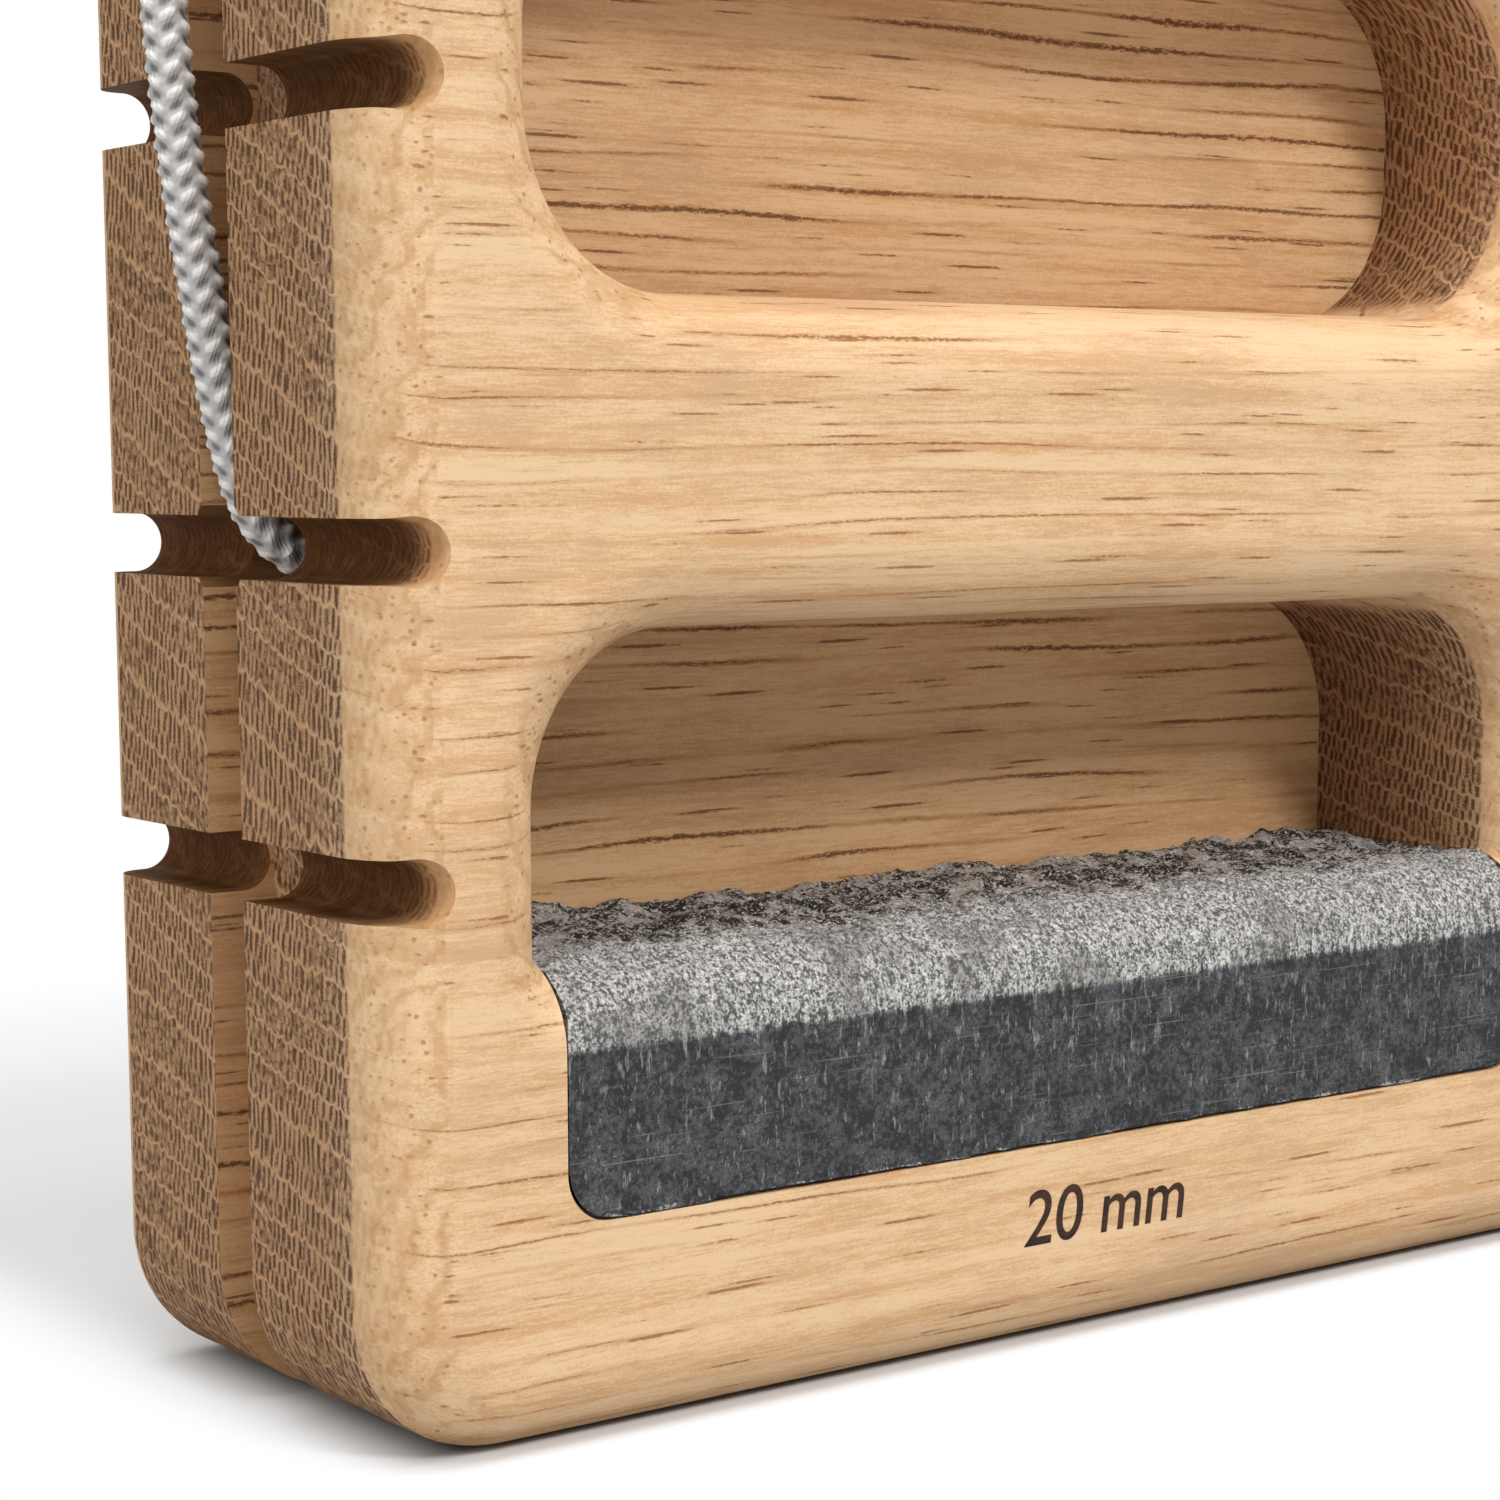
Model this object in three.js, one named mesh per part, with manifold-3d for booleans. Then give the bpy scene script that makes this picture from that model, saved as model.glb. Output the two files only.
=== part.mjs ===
// Portable hangboard: a solid oak block with two finger pockets, a bar of stone bonded
// into the lower pocket as its edge, and a cord that runs through a bore from side to side.
//
// Millimetres, +Z up, +X to the right as seen from the front, the front face towards -Y.
// The origin lies in the middle of the underside of the block, which stands on that face.

import * as THREE from 'three';
import { mergeVertices } from 'three/addons/utils/BufferGeometryUtils.js';
import Module from 'manifold-3d';

const wasm = await Module();
wasm.setup();

// Block
const boardWidth = 106;
const boardHeight = 110;
const boardThickness = 33;
const boardCornerRadius = 9;
const frontRound = 5;
const backRound = 2;

// Pockets, from the underside of the block upwards
const pocketWidth = 82.5;
const bottomBar = 13.3;
const lowerPocketHeight = 33.6;
const lowerPocketDepth = 20;
const middleBar = 19.2;
const upperPocketHeight = 24;
const upperPocketDepth = 15;
const pocketCornerRadius = 10;
const pocketBackRound = 1.2;
const lipRadius = 5;
const lipFootRadius = 0.5;

// Stone edge and the bed of adhesive that holds it
const stoneHeight = 14.7;
const seatCornerRadius = 3;
const bondLine = 0.3;
const filmShare = 0.5;
const filmSetback = 0.4;
const splitRelief = 0.55;
const splitLength = 31;
const splitBreadth = 17;
const splitGrain = 7.3;

// Sides: a groove round the edge, three notches on each side and the bore for the cord
const grooveWidth = 4;
const grooveDepth = 4.3;
const grooveFromFront = 16;
const notchHeight = 3.6;
const notchDepth = 4;
const notchFlare = 0.6;
const notchFlareLength = 2;
const notchSpan = 43.7;
const boreDiameter = 6.2;
const boreHeight = 51.7;

// Cord, its coil and the knot that joins its two ends
const cordDiameter = 3;
const cordRest = 0.1;
const cordGap = 0.3;
const boreRest = 0.4;
const boreRunLength = 79.4;
const coilLoopGap = 0.6;
const coilLoops = 4;
const coilOuterRadius = 21.4;
const coilX = 14;
const coilTangentY = 22.5;
const knotX = -9.5;
const knotLength = 15;
const knotRadius = 4.2;
const knotWaist = 3.6;
const knotEndRadius = 2.3;
const knotWraps = 5;
const crestShare = 0.8;
const topShare = 0.35;

// One overrun serves all cuts
const overrun = 2;

// Facets
const cornerSteps = 10;
const roundSteps = 8;
const mouthSteps = 4;
const boreSides = 40;
const cordSides = 8;
const coilSides = 6;
const coilSteps = 24;
const knotSides = 20;
const stoneStations = 56;
const stoneTopSteps = 9;

// Derived places
const right = boardWidth / 2;
const front = -boardThickness / 2;
const back = boardThickness / 2;
const seatHeight = bottomBar;
const lowerCeiling = seatHeight + lowerPocketHeight;
const upperFloor = lowerCeiling + middleBar;
const upperCeiling = upperFloor + upperPocketHeight;
const stoneFoot = seatHeight + bondLine;
const stoneTop = stoneFoot + stoneHeight;
const grooveFront = front + grooveFromFront;
const grooveMiddle = grooveFront + grooveWidth / 2;
const notchHeights = [boardHeight / 2 - notchSpan / 2, boreHeight, boardHeight / 2 + notchSpan / 2];
const cordRadius = cordDiameter / 2;

// Solids

function toSolid(geometry) {
  const bare = geometry.clone();
  bare.deleteAttribute('normal');
  bare.deleteAttribute('uv');
  const merged = mergeVertices(bare);
  const kept = [];
  const index = merged.index.array;
  for (let i = 0; i < index.length; i += 3) {
    const [a, b, c] = [index[i], index[i + 1], index[i + 2]];
    if (a !== b && b !== c && c !== a) kept.push(a, b, c);
  }
  const vertProperties = new Float32Array(merged.attributes.position.array);
  const triVerts = new Uint32Array(kept);
  return new wasm.Manifold(new wasm.Mesh({ numProp: 3, vertProperties, triVerts }));
}

function toGeometry(solid) {
  const mesh = solid.getMesh();
  const geometry = new THREE.BufferGeometry();
  geometry.setAttribute('position', new THREE.BufferAttribute(new Float32Array(mesh.vertProperties), 3));
  geometry.setIndex(Array.from(mesh.triVerts));
  geometry.computeVertexNormals();
  return geometry;
}

// Rounded outline in the XZ plane, counter-clockwise as seen from the front.
// A positive outset grows it on all sides and its corners with it.
function outline(frame, outset = 0) {
  const low = Math.max(frame.lowRadius + outset, 0);
  const high = Math.max(frame.highRadius + outset, 0);
  const l = frame.left - outset;
  const r = frame.right + outset;
  const b = frame.low - outset;
  const t = frame.high + outset;
  const corners = [
    [l + low, b + low, low, Math.PI],
    [r - low, b + low, low, -Math.PI / 2],
    [r - high, t - high, high, 0],
    [l + high, t - high, high, Math.PI / 2],
  ];
  const points = [];
  for (const [x, z, radius, start] of corners) {
    for (let i = 0; i <= cornerSteps; i += 1) {
      const angle = start + (Math.PI / 2) * (i / cornerSteps);
      points.push(new THREE.Vector2(x + radius * Math.cos(angle), z + radius * Math.sin(angle)));
    }
  }
  return points;
}

// Skin through rings that all have the same number of points, closed at both ends.
// The rings go round counter-clockwise as seen against the direction of travel.
function loft(rings) {
  const count = rings[0].length;
  const positions = rings.flatMap((ring) => ring.flatMap((p) => [p.x, p.y, p.z]));
  const index = [];
  for (let s = 0; s + 1 < rings.length; s += 1) {
    for (let i = 0; i < count; i += 1) {
      const a = s * count + i;
      const b = s * count + ((i + 1) % count);
      index.push(a, b, b + count, a, b + count, a + count);
    }
  }
  const last = (rings.length - 1) * count;
  for (let i = 1; i + 1 < count; i += 1) {
    index.push(0, i + 1, i);
    index.push(last, last + i, last + i + 1);
  }
  const geometry = new THREE.BufferGeometry();
  geometry.setAttribute('position', new THREE.Float32BufferAttribute(positions, 3));
  geometry.setIndex(index);
  return geometry;
}

// Rounded outline carried from front to back through stations of [y, outset].
function loftBack(frame, stations) {
  const rings = stations.map(([y, outset]) =>
    outline(frame, outset).map((p) => new THREE.Vector3(p.x, y, p.y)));
  const geometry = loft(rings);
  const index = geometry.index.array;
  for (let i = 0; i < index.length; i += 3) {
    [index[i + 1], index[i + 2]] = [index[i + 2], index[i + 1]];
  }
  return toSolid(geometry);
}

// Depth and inset of a quarter round, from its tangent on a face to its tangent on a side.
function quarterRound(radius, steps) {
  const stations = [];
  for (let i = 0; i <= steps; i += 1) {
    const angle = (Math.PI / 2) * (i / steps);
    stations.push([radius * (1 - Math.cos(angle)), radius * (1 - Math.sin(angle))]);
  }
  return stations;
}

function extrudeAlongY(shape, from, to) {
  const geometry = new THREE.ExtrudeGeometry(shape, {
    depth: to - from,
    bevelEnabled: false,
    steps: 1,
  });
  geometry.rotateX(Math.PI / 2);
  geometry.translate(0, to, 0);
  return toSolid(geometry);
}

// Block

const boardFrame = {
  left: -right,
  right,
  low: 0,
  high: boardHeight,
  lowRadius: boardCornerRadius,
  highRadius: boardCornerRadius,
};
const pocketFrame = {
  left: -pocketWidth / 2,
  right: pocketWidth / 2,
  lowRadius: pocketCornerRadius,
  highRadius: pocketCornerRadius,
};
const seatFrame = { ...pocketFrame, low: seatHeight, high: lowerCeiling, lowRadius: seatCornerRadius };
const lowerLipFrame = { ...pocketFrame, low: stoneTop, high: lowerCeiling, lowRadius: lipFootRadius };
const upperFrame = { ...pocketFrame, low: upperFloor, high: upperCeiling };

function roundedBlock() {
  const frontStations = quarterRound(frontRound, roundSteps).map(([y, inset]) => [front + y, -inset]);
  const backStations = quarterRound(backRound, mouthSteps).map(([y, inset]) => [back - y, -inset]);
  return loftBack(boardFrame, [...frontStations, ...backStations.reverse()]);
}

// A pocket with a rounded lip in front and a small round at the foot of its back wall.
function flaredPocket(frame, depth, footRound) {
  const lip = quarterRound(lipRadius, roundSteps).map(([y, inset]) => [front + y, inset]);
  const foot = quarterRound(footRound, mouthSteps).map(([y, inset]) => [front + depth - y, -inset]);
  return loftBack(frame, [[front - overrun, lipRadius], ...lip, ...foot.reverse()]);
}

function seatPocket() {
  const foot = quarterRound(pocketBackRound, mouthSteps)
    .map(([y, inset]) => [front + lowerPocketDepth - y, -inset]);
  return loftBack(seatFrame, [[front - overrun, 0], ...foot.reverse()]);
}

function edgeGroove() {
  const shape = new THREE.Shape(outline(boardFrame, overrun));
  shape.holes.push(new THREE.Path(outline(boardFrame, -grooveDepth)));
  return extrudeAlongY(shape, grooveFront, grooveFront + grooveWidth);
}

// A notch cut from the side, round at its inner end and flared where it leaves the front.
function sideNotch(side, z) {
  const half = notchHeight / 2;
  const frame = {
    left: right - notchDepth,
    right: right + notchHeight,
    low: z - half,
    high: z + half,
    lowRadius: half,
    highRadius: half,
  };
  const flare = quarterRound(1, mouthSteps)
    .map(([along, inset]) => [front + notchFlareLength * along, notchFlare * inset]);
  const solid = loftBack(frame, [[front - overrun, notchFlare], ...flare, [back + overrun, 0]]);
  return side > 0 ? solid : solid.mirror([1, 0, 0]);
}

function cordBore() {
  const length = boardWidth + 2 * overrun;
  const geometry = new THREE.CylinderGeometry(boreDiameter / 2, boreDiameter / 2, length, boreSides);
  geometry.rotateZ(Math.PI / 2);
  geometry.translate(0, grooveMiddle, boreHeight);
  return toSolid(geometry);
}

function oakBlock() {
  let block = roundedBlock();
  block = block.subtract(seatPocket());
  block = block.subtract(flaredPocket(lowerLipFrame, lowerPocketDepth, pocketBackRound));
  block = block.subtract(flaredPocket(upperFrame, upperPocketDepth, pocketBackRound));
  block = block.subtract(edgeGroove());
  for (const side of [1, -1]) {
    for (const z of notchHeights) block = block.subtract(sideNotch(side, z));
  }
  return block.subtract(cordBore());
}

// Stone edge

// Height of the split top above or below its mean, easing to nothing at the sawn front.
function splitHeight(x, depth) {
  const long = Math.sin((2 * Math.PI * x) / splitLength + (2 * Math.PI * depth) / splitBreadth);
  const cross = Math.cos((2 * Math.PI * depth) / splitBreadth - x / splitLength);
  const fine = Math.sin((2 * Math.PI * x) / splitGrain) * Math.cos((2 * Math.PI * depth) / splitGrain);
  const ease = Math.min((depth - lipRadius) / lipRadius, 1);
  return splitRelief * ease * (long + cross + fine) / 3;
}

// Front to back section of the stone at x: sawn front, lip, split top, back and underside.
function stoneSection(x) {
  const stoneBack = front + lowerPocketDepth - bondLine;
  const reach = stoneBack - front;
  const points = [new THREE.Vector3(x, front, stoneFoot)];
  for (const [y, inset] of quarterRound(lipRadius, roundSteps)) {
    points.push(new THREE.Vector3(x, front + y, stoneTop - inset));
  }
  for (let i = 1; i <= stoneTopSteps; i += 1) {
    const depth = lipRadius + (reach - lipRadius) * (i / stoneTopSteps);
    points.push(new THREE.Vector3(x, front + depth, stoneTop + splitHeight(x, depth)));
  }
  points.push(new THREE.Vector3(x, stoneBack, stoneFoot));
  return points;
}

function stoneEdge() {
  const halfLength = pocketWidth / 2 - bondLine;
  const sections = [];
  for (let i = 0; i <= stoneStations; i += 1) {
    sections.push(stoneSection(halfLength * ((2 * i) / stoneStations - 1)));
  }
  const flipped = loft(sections.map((ring) => [...ring].reverse()));
  const bar = toSolid(flipped);
  const blank = loftBack(seatFrame, [
    [front, -bondLine],
    [front + lowerPocketDepth - bondLine - pocketBackRound, -bondLine],
    [front + lowerPocketDepth - bondLine, -bondLine - pocketBackRound],
  ]);
  return bar.intersect(blank);
}

// Thin tray of adhesive under, beside and behind the stone. Its foot follows the stone's
// bevelled rear edge at the same clearance as its sides.
function adhesiveBed() {
  const film = bondLine * filmShare;
  const clearance = (bondLine - film) / 2;
  const stoneBack = front + lowerPocketDepth - bondLine;
  const bevelLine = stoneBack - pocketBackRound - bondLine;
  const trayBack = front + lowerPocketDepth - clearance;
  const tray = (frame, start, end, inset, away) => {
    const foot = end - inset - bevelLine - away * Math.SQRT2;
    return loftBack(frame, [[start, -inset], [end - foot, -inset], [end, -inset - foot]]);
  };
  const trayFront = front + filmSetback;
  const outerFrame = { ...seatFrame, high: stoneTop - lipRadius, highRadius: 0 };
  const outer = tray(outerFrame, trayFront, trayBack, clearance, clearance + film);
  const inner = tray(seatFrame, trayFront - overrun, trayBack - film, clearance + film, clearance);
  return outer.subtract(inner);
}

// Cord

// A limp cord's route, with a step at each of its own points.
class Route extends THREE.CatmullRomCurve3 {
  getPointAt(t, target) {
    return this.getPoint(t, target);
  }

  getTangentAt(t, target) {
    return this.getTangent(t, target);
  }
}

function tubeAlong(curve, steps, sides) {
  const section = new THREE.Shape();
  for (let i = 0; i < sides; i += 1) {
    const angle = (2 * Math.PI * (i + 1 / 2)) / sides;
    const x = cordRadius * Math.cos(angle);
    const y = cordRadius * Math.sin(angle);
    if (i === 0) section.moveTo(x, y);
    else section.lineTo(x, y);
  }
  section.closePath();
  return new THREE.ExtrudeGeometry(section, { steps, extrudePath: curve, bevelEnabled: false });
}

function tubeThrough(points, sides) {
  const curve = new Route(points.map((p) => new THREE.Vector3(...p)), false, 'centripetal');
  return tubeAlong(curve, points.length - 1, sides);
}

function routeTube(points) {
  return tubeThrough(points, cordSides);
}

// From inside the bore, out of its mouth, up beside the block, over its shoulder and top
// and down its back. Drawn for the left; the right leg is its mirror image.
const overTheTop = [
  [-40.0, 1.5, 50.5], [-45.0, 1.5, 50.5], [-47.2, 1.5, 50.9], [-49.1, 1.5, 52.0],
  [-50.55, 1.5, 53.6], [-51.6, 1.5, 56.0], [-52.6, 1.5, 60.0], [-53.5, 1.5, 65.0],
  [-54.3, 1.5, 70.0], [-55.05, 1.5, 75.5], [-55.55, 1.5, 81.0], [-55.9, 1.7, 87.0],
  [-56.0, 2.2, 93.0], [-55.7, 3.0, 98.5], [-54.9, 4.2, 103.2], [-52.9, 5.9, 107.7],
  [-49.9, 8.0, 110.8], [-46.4, 10.5, 112.2], [-42.9, 13.6, 112.6], [-40.0, 16.9, 111.6],
  [-37.9, 19.5, 109.0], [-36.6, 20.9, 105.0], [-35.8, 21.2, 100.0], [-35.0, 20.6, 92.0],
  [-34.3, 19.4, 80.0], [-33.8, 18.7, 66.0], [-33.5, 18.6, 52.0], [-33.3, 18.6, 38.0],
  [-33.1, 18.7, 26.0],
];
const leftFoot = [
  [-32.9, 18.9, 17.0], [-32.2, 19.6, 9.6], [-29.9, 20.7, 6.5], [-26.5, 21.8, 4.7],
  [-22.5, 22.4, 4.3], [-17.3, 22.5, 4.3],
];
const rightFoot = [
  [32.9, 18.9, 14.3], [32.2, 19.6, 6.9], [29.9, 20.7, 3.8], [26.5, 21.8, 2.0],
  [22.5, 22.4, 1.6], [17.3, 22.5, 1.6],
];
const mirrored = overTheTop.map(([x, y, z]) => [-x, y, z]);
const boreRunShares = [-0.5, -0.25, 0, 0.25, 0.5];

// The coil runs from the knot: a short tail that rises to the upper layer, in from the
// outside on that layer, down to the lower one in the half turn where the spiral reverses,
// and out again at the same steady rate.
const coilPitch = cordDiameter + coilLoopGap;
const coilFloor = cordRadius + cordRest;
const coilUpper = coilFloor + coilPitch;
const coilY = coilTangentY + coilOuterRadius;
const knotHeight = knotRadius + cordRest;
const tailShares = [[0, 0], [0.2, 0], [0.38, 0.5], [0.55, 1], [0.78, 1]];

function coilPoint(turn) {
  const half = coilLoops / 2;
  const radius = coilOuterRadius - coilPitch * (half - Math.abs(turn - half));
  const angle = 2 * Math.PI * turn - Math.PI / 2;
  const fall = Math.min(Math.max((turn - half) * 2 + 1 / 2, 0), 1);
  return [
    coilX + radius * Math.cos(angle),
    coilY + radius * Math.sin(angle),
    coilUpper - coilPitch * fall,
  ];
}

function coilRoute() {
  const tailStart = knotX + knotLength / 2 + cordGap;
  const points = tailShares.map(([along, rise]) => [
    tailStart + (coilX - tailStart) * along,
    coilTangentY,
    knotHeight + (coilUpper - knotHeight) * rise,
  ]);
  for (let i = 0; i <= coilLoops * coilSteps; i += 1) points.push(coilPoint(i / coilSteps));
  points.push([coilX + cordDiameter, coilTangentY, coilFloor]);
  return points;
}

// Least gap of the coil to itself, measured on points along its middle line.
function leastGap(points) {
  const curve = new Route(points.map((p) => new THREE.Vector3(...p)), false, 'centripetal');
  const count = points.length * 6;
  const line = curve.getPoints(count);
  const along = [0];
  for (let i = 1; i <= count; i += 1) along.push(along[i - 1] + line[i].distanceTo(line[i - 1]));
  let least = Infinity;
  for (let i = 0; i <= count; i += 1) {
    for (let j = i + 1; j <= count; j += 1) {
      if (along[j] - along[i] > 4 * cordDiameter) least = Math.min(least, line[i].distanceTo(line[j]));
    }
  }
  return least - cordDiameter;
}

function boreRun() {
  const rest = boreHeight - boreDiameter / 2 + cordRadius + boreRest;
  const points = boreRunShares.map((share) => [boreRunLength * share, grooveMiddle, rest]);
  return routeTube(points);
}

// Joining knot: wraps of the cord side by side, seen as rings along a barrel.
function joiningKnot() {
  const half = knotLength / 2;
  const crest = (half - knotEndRadius / 2) / knotWraps;
  const profile = [new THREE.Vector2(0, -half), new THREE.Vector2(knotEndRadius, -half)];
  for (let i = 0; i < knotWraps; i += 1) {
    const middle = (2 * i + 1 - knotWraps) * crest;
    profile.push(new THREE.Vector2(knotWaist, middle - crest * crestShare));
    profile.push(new THREE.Vector2(knotRadius, middle - crest * topShare));
    profile.push(new THREE.Vector2(knotRadius, middle + crest * topShare));
    profile.push(new THREE.Vector2(knotWaist, middle + crest * crestShare));
  }
  profile.push(new THREE.Vector2(knotEndRadius, half), new THREE.Vector2(0, half));
  const geometry = new THREE.LatheGeometry(profile, knotSides);
  geometry.rotateZ(-Math.PI / 2);
  geometry.translate(knotX, coilTangentY, knotHeight);
  return toGeometry(toSolid(geometry));
}

// Assembly
const oak = new THREE.MeshStandardMaterial({ color: 0xe3bf8c, roughness: 0.62, metalness: 0 });
const stone = new THREE.MeshStandardMaterial({ color: 0x565a5e, roughness: 0.78, metalness: 0 });
const adhesive = new THREE.MeshStandardMaterial({ color: 0x2a2522, roughness: 0.5, metalness: 0 });
const braid = new THREE.MeshStandardMaterial({ color: 0xeceae6, roughness: 0.7, metalness: 0 });

const hangboard = new THREE.Group();

function place(name, geometry, material) {
  const mesh = new THREE.Mesh(geometry, material);
  mesh.name = name;
  hangboard.add(mesh);
}

const coilLine = coilRoute();
console.log(`least gap of the coil to itself: ${leastGap(coilLine).toFixed(2)} mm`);

place('oak_block', toGeometry(oakBlock()), oak);
place('stone_edge', toGeometry(stoneEdge()), stone);
place('adhesive_bed', toGeometry(adhesiveBed()), adhesive);
place('cord_bore_run', boreRun(), braid);
place('cord_left_leg', routeTube([...overTheTop, ...leftFoot]), braid);
place('cord_right_leg', routeTube([...mirrored, ...rightFoot]), braid);
place('cord_coil', tubeThrough(coilLine, coilSides), braid);
place('cord_knot', joiningKnot(), braid);

export default hangboard;
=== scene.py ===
import math

import bmesh
import bpy
from bpy.props import FloatProperty, FloatVectorProperty, IntProperty, PointerProperty
from bpy.types import Operator, Panel, PropertyGroup
from mathutils import Matrix, Vector, noise


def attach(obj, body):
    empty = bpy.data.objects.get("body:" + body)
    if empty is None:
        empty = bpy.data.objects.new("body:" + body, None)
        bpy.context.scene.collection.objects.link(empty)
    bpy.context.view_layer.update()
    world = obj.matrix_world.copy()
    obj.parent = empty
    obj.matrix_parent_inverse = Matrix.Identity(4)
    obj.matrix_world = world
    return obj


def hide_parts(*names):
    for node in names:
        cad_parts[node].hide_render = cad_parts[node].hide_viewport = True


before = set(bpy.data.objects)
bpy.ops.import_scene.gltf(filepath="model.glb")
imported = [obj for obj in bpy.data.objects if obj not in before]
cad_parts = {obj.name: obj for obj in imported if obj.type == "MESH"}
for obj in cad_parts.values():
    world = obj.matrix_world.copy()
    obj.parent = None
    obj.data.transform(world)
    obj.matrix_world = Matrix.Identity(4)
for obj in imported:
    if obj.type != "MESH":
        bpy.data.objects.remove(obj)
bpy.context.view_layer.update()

bl_info = {
    "name": "Corded Hangboard",
    "version": (1, 0, 0),
    "blender": (4, 5, 0),
    "location": "View3D > Sidebar > Hangboard",
    "description": "Oak finger board with a stone edge and a braided cord",
    "category": "Object",
}

PREFIX = "hangboard_"
MM = 0.001
MM_PER_METRE = 1000.0


# Sizes and colours that a user would change

def length(name, description, default):
    return FloatProperty(name=name, description=description, default=default * MM,
                         unit="LENGTH", precision=5, min=0.0)


def tint(name, description, default):
    return FloatVectorProperty(name=name, description=description, default=default,
                               subtype="COLOR", size=3, min=0.0, max=1.0)


class BlockSizes(PropertyGroup):
    width: length("Width", "Side to side", 106)
    height: length("Height", "Underside to top", 110)
    thickness: length("Thickness", "Front to back", 33)
    corner: length("Corner radius", "Outline corners", 9)
    back_round: length("Back round", "Round along the back edges", 2)
    pocket_width: length("Pocket width", "Both finger pockets", 82.5)
    bottom_bar: length("Bottom bar", "Wood below the stone seat", 13.3)
    lower_pocket: length("Lower pocket height", "From the seat to the ceiling", 33.6)
    lower_depth: length("Lower pocket depth", "Depth of the stone edge", 20)
    middle_bar: length("Middle bar", "Wood between the pockets", 19.2)
    upper_pocket: length("Upper pocket height", "Wooden edge to the ceiling", 24)
    upper_depth: length("Upper pocket depth", "Depth of the wooden edge", 15)
    pocket_corner: length("Pocket corner", "Corner radius of the pockets", 10)
    lip: length("Lip radius", "Round along the front edges and the pockets' mouths", 5)
    groove_width: length("Groove width", "Groove round the edge", 4)
    groove_depth: length("Groove depth", "Groove round the edge", 4.3)
    groove_from_front: length("Groove place", "Front face to the groove", 16)
    notch_height: length("Notch height", "Notches across the sides", 3.6)
    notch_depth: length("Notch depth", "Notches across the sides", 4.0)
    notch_flare: length("Notch flare", "Widening where a notch leaves the front", 0.6)
    notch_flare_length: length("Notch flare length", "Depth of the flare", 2.0)
    notch_span: length("Notch span", "Lowest notch to highest", 43.7)
    bore: length("Bore", "Diameter of the cord's bore", 6.2)
    bore_height: length("Bore height", "Underside to the bore's middle", 51.7)


class StoneSizes(PropertyGroup):
    height: length("Height", "Underside to mean split top", 14.7)
    bond: length("Bond line", "Gap filled with adhesive", 0.3)
    corner: length("Corner radius", "Lower corners of the bar", 3)
    relief: length("Split relief", "Height of the split top's waves", 0.55)


class CordSizes(PropertyGroup):
    diameter: length("Diameter", "Braided cord", 3.0)
    stitch: length("Stitch", "Length of one braid stitch", 1.4)
    relief: length("Relief", "Depth of the pits between stitches", 0.42)
    plaits: IntProperty(name="Plaits", description="Columns of stitches round the cord",
                        default=6, min=4, max=16)
    loop_gap: length("Loop gap", "Clear space between the coil's loops", 0.6)
    coil_radius: length("Coil radius", "Outer loop of the coil", 21.4)


class Finishes(PropertyGroup):
    oak: tint("Oak face", "Sanded long grain", (0.81, 0.572, 0.345))
    oak_dark: tint("Oak grain", "Darker growth bands", (0.65, 0.385, 0.185))
    pore: tint("Pores", "Open vessels along the grain", (0.15, 0.058, 0.018))
    end_grain: tint("End grain", "Dark vessels in the end grain", (0.125, 0.06, 0.026))
    end_light: tint("End grain rays", "Pale rays and rings in the end grain", (0.7, 0.455, 0.27))
    # Router scorch and painted shade inside the notches
    scorch_and_notch_shade: tint("Scorch", "Wood browned by the cutter", (0.08, 0.026, 0.005))
    stone: tint("Stone", "Sawn face", (0.021, 0.023, 0.026))
    stone_split: tint("Split stone", "Crushed and split surface", (0.53, 0.525, 0.51))
    braid: tint("Braid", "Cord yarn", (0.93, 0.925, 0.91))


CAMERA_PLACE = (-0.1418, -0.16549, 0.05655)
CAMERA_YAW, CAMERA_PITCH, CAMERA_ROLL = -36.1296, 8.2804, -0.2224  # degrees
CAMERA_SHIFT = (0.044, 0.12)
SKY_TINT = (1.0, 0.94, 0.87)
WHITE = (1.0, 1.0, 1.0)
FLOOR_HALF = 3.0
FLOOR_DROP = 0.02 * MM  # keeps the floor's plane clear of the underside's
AIM = (0.0, 0.0, 0.055)  # what the lamps point at
SIDE_SHARE = 0.41  # power of the side lamp as a share of the key's


class StageSettings(PropertyGroup):
    lens: FloatProperty(name="Lens", description="Focal length in millimetres for a 36 mm frame",
                        default=77.468, min=10.0, max=400.0)
    key: FloatProperty(name="Key light", description="Power of the large front lamp in watts",
                       default=6.3, min=0.0, max=100.0)
    top: FloatProperty(name="Top light", description="Power of the lamp above in watts",
                       default=8.5, min=0.0, max=100.0)
    fill: FloatProperty(name="Sky", description="Strength of the even surrounding light",
                        default=0.3, min=0.0, max=4.0)


# Lesser tints, next to those that a user would change

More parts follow.
